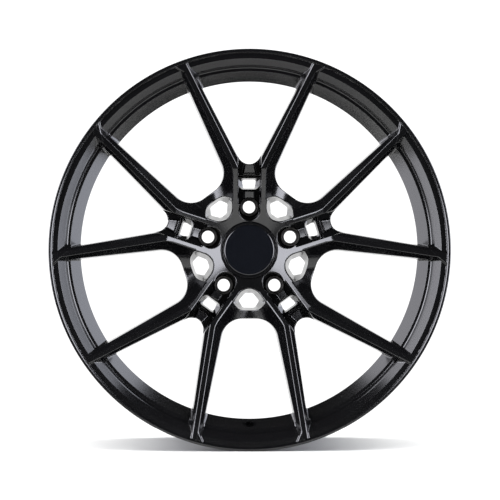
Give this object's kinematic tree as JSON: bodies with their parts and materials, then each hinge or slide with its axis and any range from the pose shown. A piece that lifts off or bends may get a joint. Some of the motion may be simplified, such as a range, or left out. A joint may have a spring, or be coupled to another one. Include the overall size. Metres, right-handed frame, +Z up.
{
  "type": "wheel rim",
  "caption": "Forged racing wheel rim: drop-centre barrel, forked spokes on a dished hub, conical lug seats, valve hole, clip-in centre cap and spigot ring.",
  "frame": {"origin": "centre of the mounting face, on the axle, where the wheel meets the vehicle's hub", "axes": "+Y along the axle towards the vehicle, with the street side at -Y; +Z up, with the valve hole at the bottom; +X to the right as seen from the street"},
  "size_m": [0.5219, 0.241, 0.522],
  "materials": {
    "forged_wheel": "satin black paint over forged aluminium",
    "seat_steel": "black phosphate, bare steel worn by the nuts",
    "cap_plastic": "satin black moulding",
    "badge": "plain navy-black disc, semi-gloss",
    "adhesive_pad": "double-sided foam tape",
    "spring_wire": "zinc-plated spring wire",
    "ring_aluminium": "turned aluminium"
  },
  "bodies": {
    "wheel": {"barrel": "forged_wheel", "hub": "forged_wheel", "spoke_1": "forged_wheel", "spoke_2": "forged_wheel", "spoke_3": "forged_wheel", "spoke_4": "forged_wheel", "spoke_5": "forged_wheel", "lug_seat_1": "seat_steel", "lug_seat_2": "seat_steel", "lug_seat_3": "seat_steel", "lug_seat_4": "seat_steel", "lug_seat_5": "seat_steel", "spigot_ring": "ring_aluminium"},
    "cap": {"cap_body": "cap_plastic", "cap_badge": "badge", "cap_adhesive": "adhesive_pad", "cap_spring_ring": "spring_wire"}
  },
  "joints": [
    {"name": "cap_pull", "type": "slide", "parent": "wheel", "child": "cap", "axis": [0, -1, 0], "range_m": [0, 0.03]}
  ]
}
